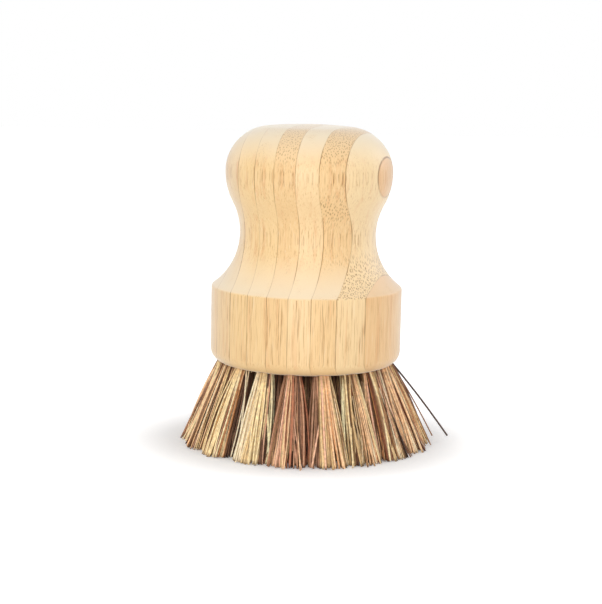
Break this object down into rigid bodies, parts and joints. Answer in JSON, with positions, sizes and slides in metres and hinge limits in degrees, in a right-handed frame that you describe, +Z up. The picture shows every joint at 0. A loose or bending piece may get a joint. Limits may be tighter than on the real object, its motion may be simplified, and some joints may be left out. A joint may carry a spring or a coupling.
{
  "type": "palm pot brush",
  "caption": "Round scrubbing brush with a turned knob handle of laminated bamboo and splayed tufts of stiff plant fibre trimmed level.",
  "frame": {"origin": "on the surface that the brush stands on, under the middle of its tips", "axes": "+Z up through the handle's axis, -Y the front"},
  "size_m": [0.0656, 0.0643, 0.0837],
  "materials": {
    "bamboo": "satin",
    "plant_fibre": "matte",
    "anchor_wire": "satin"
  },
  "bodies": {
    "root": {"handle": "bamboo", "anchors": "anchor_wire", "tuft_outer_01": "plant_fibre", "tuft_outer_02": "plant_fibre", "tuft_outer_03": "plant_fibre", "tuft_outer_04": "plant_fibre", "tuft_outer_05": "plant_fibre", "tuft_outer_06": "plant_fibre", "tuft_outer_07": "plant_fibre", "tuft_outer_08": "plant_fibre", "tuft_outer_09": "plant_fibre", "tuft_outer_10": "plant_fibre", "tuft_outer_11": "plant_fibre", "tuft_outer_12": "plant_fibre", "tuft_outer_13": "plant_fibre", "tuft_outer_14": "plant_fibre", "tuft_outer_15": "plant_fibre", "tuft_outer_16": "plant_fibre", "tuft_outer_17": "plant_fibre", "tuft_outer_18": "plant_fibre", "tuft_middle_01": "plant_fibre", "tuft_middle_02": "plant_fibre", "tuft_middle_03": "plant_fibre", "tuft_middle_04": "plant_fibre", "tuft_middle_05": "plant_fibre", "tuft_middle_06": "plant_fibre", "tuft_middle_07": "plant_fibre", "tuft_middle_08": "plant_fibre", "tuft_middle_09": "plant_fibre", "tuft_middle_10": "plant_fibre", "tuft_inner_01": "plant_fibre", "tuft_inner_02": "plant_fibre", "tuft_inner_03": "plant_fibre", "tuft_inner_04": "plant_fibre"}
  },
  "joints": []
}
